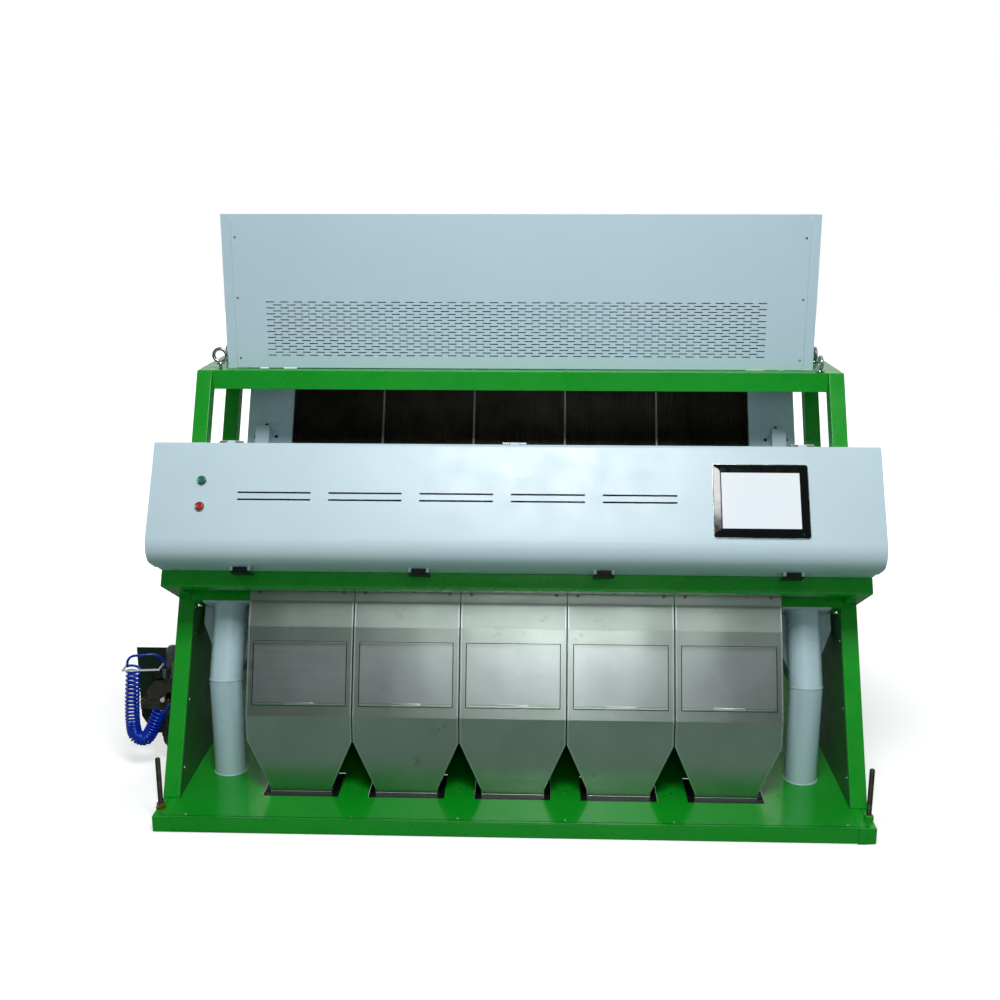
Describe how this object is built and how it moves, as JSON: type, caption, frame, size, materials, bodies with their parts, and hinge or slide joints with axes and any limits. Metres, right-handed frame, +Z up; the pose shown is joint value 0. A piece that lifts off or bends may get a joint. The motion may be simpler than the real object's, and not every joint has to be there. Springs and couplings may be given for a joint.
{
  "type": "lentil colour sorter",
  "caption": "Free-standing optical sorter for lentils: feed bins over grooved chutes, a hinged optics cover with touch panel and steel hoppers with sampling doors.",
  "frame": {"origin": "on the floor at the centre of the base frame's footprint", "axes": "+X to the operator's right along the machine's width, +Y from the operator's side to the back, +Z up"},
  "size_m": [2.305, 1.65, 1.744],
  "materials": {
    "base_frame": "gloss green powder coat",
    "deck_plate": "gloss green powder coat",
    "posts": "gloss green powder coat",
    "top_frame": "gloss green powder coat",
    "front_beam": "gloss green powder coat",
    "cross_beams": "gloss green powder coat",
    "side_panels": "gloss green powder coat",
    "lifting_eyes": "bright zinc plate",
    "levelling_screws": "blackened thread with green overspray",
    "feed_box": "satin pale blue-grey powder coat",
    "vent_panel": "satin pale blue-grey powder coat",
    "feed_bins": "brushed stainless",
    "feeder_drives": "satin grey",
    "chutes": "dark anodised grooves",
    "chute_frame": "satin pale powder coat",
    "cover_arms": "satin pale powder coat",
    "front_optics_box": "satin pale powder coat",
    "rear_optics_box": "satin pale powder coat",
    "optics_windows": "clear glass",
    "camera_units": "satin black",
    "ejector_bar": "clear anodised",
    "cover_hinges": "satin stainless",
    "discharge_hopper": "brushed stainless sheet",
    "reject_trough": "brushed stainless",
    "dust_pipes": "gloss pale powder coat",
    "side_funnels": "satin pale powder coat",
    "control_cabinet": "satin pale powder coat",
    "air_bracket": "gloss green powder coat",
    "air_filter": "cast and machined",
    "filter_bowl": "clear polycarbonate bowl",
    "hose_ports": "machined brass",
    "hose_coil": "blue polyurethane",
    "hose_leads": "blue polyurethane",
    "hose_band": "white nylon",
    "front_cover": "satin pale blue powder coat",
    "touch_panel": "black bezel",
    "touch_screen": "lit screen glass",
    "button_collars": "bright ring",
    "cover_latch": "black nylon",
    "start_button": "green cap",
    "stop_button": "red cap",
    "sample_door": "brushed stainless sheet",
    "feeder_tray": "brushed stainless sheet",
    "regulator_knob": "grey plastic",
    "cabinet_door": "satin pale powder coat"
  },
  "bodies": {
    "machine": {"base_frame": "base_frame", "deck_plate": "deck_plate", "posts": "posts", "top_frame": "top_frame", "front_beam": "front_beam", "cross_beams": "cross_beams", "side_panels": "side_panels", "lifting_eyes": "lifting_eyes", "levelling_screws": "levelling_screws", "feed_box": "feed_box", "vent_panel": "vent_panel", "feed_bins": "feed_bins", "feeder_drives": "feeder_drives", "chutes": "chutes", "chute_frame": "chute_frame", "cover_arms": "cover_arms", "front_optics_box": "front_optics_box", "rear_optics_box": "rear_optics_box", "optics_windows": "optics_windows", "camera_units": "camera_units", "ejector_bar": "ejector_bar", "cover_hinges": "cover_hinges", "discharge_hopper_1": "discharge_hopper", "discharge_hopper_2": "discharge_hopper", "discharge_hopper_3": "discharge_hopper", "discharge_hopper_4": "discharge_hopper", "discharge_hopper_5": "discharge_hopper", "reject_trough": "reject_trough", "dust_pipes": "dust_pipes", "side_funnels": "side_funnels", "control_cabinet": "control_cabinet", "air_bracket": "air_bracket", "air_filter": "air_filter", "filter_bowl": "filter_bowl", "hose_ports": "hose_ports", "hose_coil": "hose_coil", "hose_leads": "hose_leads", "hose_band": "hose_band"},
    "cover": {"front_cover": "front_cover", "touch_panel": "touch_panel", "touch_screen": "touch_screen", "button_collars": "button_collars"},
    "latch_1": {"cover_latch_1": "cover_latch"},
    "latch_2": {"cover_latch_2": "cover_latch"},
    "latch_3": {"cover_latch_3": "cover_latch"},
    "latch_4": {"cover_latch_4": "cover_latch"},
    "start_button": {"start_button": "start_button"},
    "stop_button": {"stop_button": "stop_button"},
    "door_1": {"sample_door_1": "sample_door"},
    "door_2": {"sample_door_2": "sample_door"},
    "door_3": {"sample_door_3": "sample_door"},
    "door_4": {"sample_door_4": "sample_door"},
    "door_5": {"sample_door_5": "sample_door"},
    "tray_1": {"feeder_tray_1": "feeder_tray"},
    "tray_2": {"feeder_tray_2": "feeder_tray"},
    "tray_3": {"feeder_tray_3": "feeder_tray"},
    "tray_4": {"feeder_tray_4": "feeder_tray"},
    "tray_5": {"feeder_tray_5": "feeder_tray"},
    "knob": {"regulator_knob": "regulator_knob"},
    "rear_door": {"cabinet_door": "cabinet_door"}
  },
  "joints": [
    {"name": "cover_open", "type": "hinge", "parent": "machine", "child": "cover", "pos_m": [0, -0.50701, 1.09902], "axis": [-1, 0, 0], "range_deg": [0, 75]},
    {"name": "latch_1_turn", "type": "hinge", "parent": "cover", "child": "latch_1", "pos_m": [-0.798, -0.63366, 0.74915], "axis": [-1, 0, 0], "range_deg": [0, 60]},
    {"name": "latch_2_turn", "type": "hinge", "parent": "cover", "child": "latch_2", "pos_m": [-0.275, -0.63366, 0.74915], "axis": [-1, 0, 0], "range_deg": [0, 60]},
    {"name": "latch_3_turn", "type": "hinge", "parent": "cover", "child": "latch_3", "pos_m": [0.263, -0.63366, 0.74915], "axis": [-1, 0, 0], "range_deg": [0, 60]},
    {"name": "latch_4_turn", "type": "hinge", "parent": "cover", "child": "latch_4", "pos_m": [0.808, -0.63366, 0.74915], "axis": [-1, 0, 0], "range_deg": [0, 60]},
    {"name": "start_press", "type": "slide", "parent": "cover", "child": "start_button", "axis": [0, 0.8589, -0.5121], "range_m": [0, 0.003], "stiffness_N_per_m": 600},
    {"name": "stop_press", "type": "slide", "parent": "cover", "child": "stop_button", "axis": [0, 0.8589, -0.5121], "range_m": [0, 0.003], "stiffness_N_per_m": 600},
    {"name": "door_1_open", "type": "hinge", "parent": "machine", "child": "door_1", "pos_m": [-0.64, -0.65606, 0.33457], "axis": [1, 0, 0], "range_deg": [0, 120]},
    {"name": "door_2_open", "type": "hinge", "parent": "machine", "child": "door_2", "pos_m": [-0.32, -0.65606, 0.33457], "axis": [1, 0, 0], "range_deg": [0, 120]},
    {"name": "door_3_open", "type": "hinge", "parent": "machine", "child": "door_3", "pos_m": [0, -0.65606, 0.33457], "axis": [1, 0, 0], "range_deg": [0, 120]},
    {"name": "door_4_open", "type": "hinge", "parent": "machine", "child": "door_4", "pos_m": [0.32, -0.65606, 0.33457], "axis": [1, 0, 0], "range_deg": [0, 120]},
    {"name": "door_5_open", "type": "hinge", "parent": "machine", "child": "door_5", "pos_m": [0.64, -0.65606, 0.33457], "axis": [1, 0, 0], "range_deg": [0, 120]},
    {"name": "tray_1_shake", "type": "slide", "parent": "machine", "child": "tray_1", "axis": [0, 1, 0], "range_m": [-0.002, 0.002], "stiffness_N_per_m": 20000},
    {"name": "tray_2_shake", "type": "slide", "parent": "machine", "child": "tray_2", "axis": [0, 1, 0], "range_m": [-0.002, 0.002], "stiffness_N_per_m": 20000},
    {"name": "tray_3_shake", "type": "slide", "parent": "machine", "child": "tray_3", "axis": [0, 1, 0], "range_m": [-0.002, 0.002], "stiffness_N_per_m": 20000},
    {"name": "tray_4_shake", "type": "slide", "parent": "machine", "child": "tray_4", "axis": [0, 1, 0], "range_m": [-0.002, 0.002], "stiffness_N_per_m": 20000},
    {"name": "tray_5_shake", "type": "slide", "parent": "machine", "child": "tray_5", "axis": [0, 1, 0], "range_m": [-0.002, 0.002], "stiffness_N_per_m": 20000},
    {"name": "knob_turn", "type": "hinge", "parent": "machine", "child": "knob", "pos_m": [-1.098, -0.368, 0.36], "axis": [0, 0, 1], "continuous": true},
    {"name": "rear_door_open", "type": "hinge", "parent": "machine", "child": "rear_door", "pos_m": [-0.444, 0.7825, 0.9], "axis": [0, 0, 1], "range_deg": [0, 110]}
  ]
}
